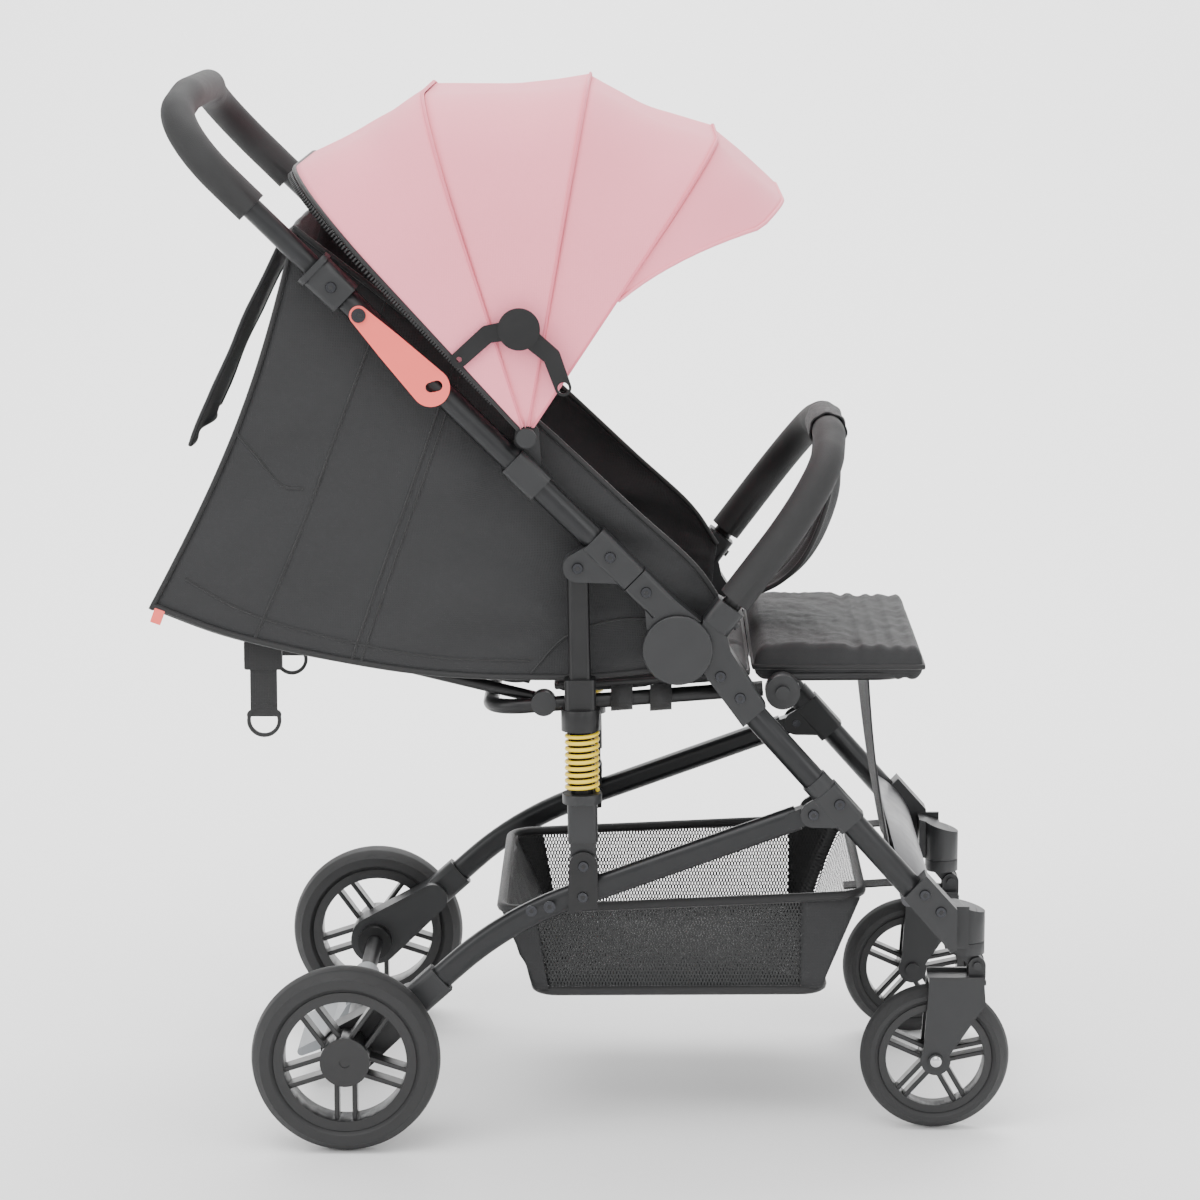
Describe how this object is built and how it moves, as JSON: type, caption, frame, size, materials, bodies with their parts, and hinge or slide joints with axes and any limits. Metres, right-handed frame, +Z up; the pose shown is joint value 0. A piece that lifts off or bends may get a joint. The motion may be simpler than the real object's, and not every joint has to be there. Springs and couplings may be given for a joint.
{
  "type": "baby stroller",
  "caption": "Compact folding stroller with reclining seat, folding sun canopy, bumper bar, leg rest, swivel front wheels, sprung rear posts, brake and under-seat basket.",
  "frame": {"origin": "on the floor under the middle of the stroller's bounding box", "axes": "+X to the front, +Y to the stroller's left, +Z up"},
  "size_m": [0.8, 0.5, 0.9785],
  "materials": {
    "metal_tube": "satin dark grey powder coat",
    "dark_metal": "satin black powder coat",
    "plate_metal": "satin grey powder coat",
    "casting": "matte charcoal nylon",
    "cover": "satin charcoal nylon",
    "bolt": "black zinc",
    "steel": "brushed",
    "foam": "closed-cell foam grip",
    "spring": "yellow powder coat",
    "coral": "satin coral",
    "tyre": "matte foam rubber",
    "rim": "satin black",
    "pedal": "light grey",
    "seat_cloth": "charcoal woven",
    "pad_cloth": "quilted charcoal woven",
    "canopy_cloth": "pink woven",
    "mesh_cloth": "dark mesh with binding",
    "webbing": "ribbed webbing",
    "buckle": "satin black"
  },
  "bodies": {
    "front_frame": {"front_legs": "metal_tube", "hub_lower_castings": "casting", "hub_covers": "cover", "front_leg_fittings": "casting", "front_cross_members": "plate_metal", "seat_tube": "dark_metal", "seat_hinges": "casting", "bumper_sockets": "casting", "seat_pad": "pad_cloth", "basket": "mesh_cloth", "front_frame_bolts": "bolt", "harness_buckle": "buckle", "calf_cloth": "seat_cloth"},
    "upper_frame": {"upper_tubes": "metal_tube", "handle_tube": "metal_tube", "handle_grip": "foam", "hub_upper_castings": "casting", "post_brackets": "casting", "upper_tube_fittings": "casting", "upper_frame_bolts": "bolt", "seat_fabric": "seat_cloth", "canopy_rear_section": "canopy_cloth"},
    "lever": {"fold_lock_lever": "coral"},
    "rear_leg_assembly": {"rear_legs": "metal_tube", "clevises": "dark_metal", "rear_housings": "casting", "rear_axle": "steel", "rear_leg_rivets": "bolt"},
    "brake": {"brake_pedal": "pedal"},
    "rear_wheel_right": {"rear_tyre_right": "tyre", "rear_rim_right": "rim"},
    "rear_wheel_left": {"rear_tyre_left": "tyre", "rear_rim_left": "rim"},
    "posts_upper": {"post_upper": "dark_metal", "springs": "spring"},
    "posts_lower": {"post_lower": "casting"},
    "swivel_right": {"caster_right": "casting"},
    "swivel_left": {"caster_left": "casting"},
    "front_fork_right": {"fork_right": "casting"},
    "front_fork_left": {"fork_left": "casting"},
    "front_wheel_right": {"front_tyre_right": "tyre", "front_rim_right": "rim"},
    "front_wheel_left": {"front_tyre_left": "tyre", "front_rim_left": "rim"},
    "canopy_mid": {"canopy_mid_section": "canopy_cloth"},
    "canopy_front": {"canopy_front_section": "canopy_cloth"},
    "canopy_peak": {"canopy_visor": "canopy_cloth"},
    "brace_rear": {"brace_rear_links": "dark_metal"},
    "brace_front": {"brace_front_links": "dark_metal"},
    "backrest": {"backrest_tube": "dark_metal", "backrest_pad": "pad_cloth", "backrest_head": "pad_cloth", "recline_strap": "webbing"},
    "leg_rest": {"leg_rest_frame": "dark_metal", "leg_rest_pad": "pad_cloth"},
    "bumper": {"bumper_tube": "dark_metal", "bumper_foam": "foam", "crotch_flap": "seat_cloth"},
    "button_right": {"bumper_button_right": "cover"},
    "button_left": {"bumper_button_left": "cover"}
  },
  "joints": [
    {"name": "fold", "type": "hinge", "parent": "front_frame", "child": "upper_frame", "pos_m": [0.085, 0, 0.468], "axis": [0, -1, 0], "range_deg": [0, 148], "deforming": ["seat_fabric", "springs", "backrest_head", "calf_cloth", "recline_strap"]},
    {"name": "rear_leg_pivot", "type": "hinge", "parent": "front_frame", "child": "rear_leg_assembly", "pos_m": [0.21, 0, 0.314], "axis": [0, -1, 0], "range_deg": [0, 81.1]},
    {"name": "lock_lever_pivot", "type": "hinge", "parent": "upper_frame", "child": "lever", "pos_m": [-0.202, -0.2175, 0.773], "axis": [0, 1, 0], "range_deg": [0, 100]},
    {"name": "brake_pivot", "type": "hinge", "parent": "rear_leg_assembly", "child": "brake", "pos_m": [-0.22, 0, 0.0875], "axis": [0, -1, 0], "range_deg": [0, 20]},
    {"name": "rear_axle_spin_right", "type": "hinge", "parent": "rear_leg_assembly", "child": "rear_wheel_right", "pos_m": [-0.22, -0.232, 0.0875], "axis": [0, 1, 0], "continuous": true},
    {"name": "rear_axle_spin_left", "type": "hinge", "parent": "rear_leg_assembly", "child": "rear_wheel_left", "pos_m": [-0.22, 0.232, 0.0875], "axis": [0, 1, 0], "continuous": true},
    {"name": "post_pivot", "type": "hinge", "parent": "upper_frame", "child": "posts_upper", "pos_m": [-0.006, 0, 0.543], "axis": [0, -1, 0], "range_deg": [-127.3, 0]},
    {"name": "post_suspension", "type": "slide", "parent": "posts_upper", "child": "posts_lower", "axis": [-0.018, 0, 0.9998], "range_m": [0, 0.012], "stiffness_N_per_m": 3000, "springref_m": -0.02, "deforming": ["springs"]},
    {"name": "swivel_pivot_right", "type": "hinge", "parent": "front_frame", "child": "swivel_right", "pos_m": [0.357, -0.16, 0.19], "axis": [0, 0, 1], "continuous": true},
    {"name": "swivel_pivot_left", "type": "hinge", "parent": "front_frame", "child": "swivel_left", "pos_m": [0.357, 0.16, 0.19], "axis": [0, 0, 1], "continuous": true},
    {"name": "front_suspension_right", "type": "hinge", "parent": "swivel_right", "child": "front_fork_right", "pos_m": [0.366, -0.16, 0.16], "axis": [0, 1, 0], "range_deg": [0, 4], "stiffness_Nm_per_rad": 60, "springref_deg": -1.72},
    {"name": "front_suspension_left", "type": "hinge", "parent": "swivel_left", "child": "front_fork_left", "pos_m": [0.366, 0.16, 0.16], "axis": [0, 1, 0], "range_deg": [0, 4], "stiffness_Nm_per_rad": 60, "springref_deg": -1.72},
    {"name": "front_axle_spin_right", "type": "hinge", "parent": "front_fork_right", "child": "front_wheel_right", "pos_m": [0.328, -0.16, 0.07], "axis": [0, 1, 0], "continuous": true},
    {"name": "front_axle_spin_left", "type": "hinge", "parent": "front_fork_left", "child": "front_wheel_left", "pos_m": [0.328, 0.16, 0.07], "axis": [0, 1, 0], "continuous": true},
    {"name": "canopy_front_pivot", "type": "hinge", "parent": "upper_frame", "child": "canopy_front", "pos_m": [-0.052, 0, 0.663], "axis": [0, -1, 0], "range_deg": [0, 47]},
    {"name": "canopy_mid_pivot", "type": "hinge", "parent": "upper_frame", "child": "canopy_mid", "pos_m": [-0.052, 0, 0.663], "axis": [0, -1, 0], "range_deg": [0, 25.3]},
    {"name": "visor_pivot", "type": "hinge", "parent": "upper_frame", "child": "canopy_peak", "pos_m": [-0.052, 0, 0.663], "axis": [0, -1, 0], "range_deg": [0, 60.3]},
    {"name": "brace_rear_pivot", "type": "hinge", "parent": "upper_frame", "child": "brace_rear", "pos_m": [-0.11178, 0, 0.73424], "axis": [0, -1, 0], "range_deg": [0, 27.3]},
    {"name": "brace_knee", "type": "hinge", "parent": "brace_rear", "child": "brace_front", "pos_m": [-0.058, 0, 0.762], "axis": [0, -1, 0], "range_deg": [-52, 0]},
    {"name": "backrest_recline", "type": "hinge", "parent": "front_frame", "child": "backrest", "pos_m": [-0.038, 0, 0.41], "axis": [0, 1, 0], "range_deg": [0, 60], "deforming": ["seat_fabric", "recline_strap", "backrest_head"]},
    {"name": "leg_rest_pivot", "type": "hinge", "parent": "front_frame", "child": "leg_rest", "pos_m": [0.182, 0, 0.422], "axis": [0, 1, 0], "range_deg": [0, 65], "deforming": ["calf_cloth"]},
    {"name": "bumper_slide", "type": "slide", "parent": "front_frame", "child": "bumper", "axis": [0.6004, 0, 0.7997], "range_m": [0, 0.045]},
    {"name": "bumper_button_press_right", "type": "slide", "parent": "front_frame", "child": "button_right", "axis": [-0.7997, 0, 0.6004], "range_m": [0, 0.002], "stiffness_N_per_m": 400, "springref_m": -0.002},
    {"name": "bumper_button_press_left", "type": "slide", "parent": "front_frame", "child": "button_left", "axis": [-0.7997, 0, 0.6004], "range_m": [0, 0.002], "stiffness_N_per_m": 400, "springref_m": -0.002}
  ],
  "couplings": [
    {"joint": "rear_leg_pivot", "follows": "fold", "ratio": 0.5475},
    {"joint": "post_pivot", "follows": "fold", "ratio": -0.8599},
    {"joint": "canopy_mid_pivot", "follows": "canopy_front_pivot", "ratio": 0.536},
    {"joint": "visor_pivot", "follows": "canopy_front_pivot", "ratio": 1.281},
    {"joint": "brace_rear_pivot", "follows": "canopy_front_pivot", "ratio": 0.579},
    {"joint": "brace_knee", "follows": "canopy_front_pivot", "ratio": -1.104}
  ]
}
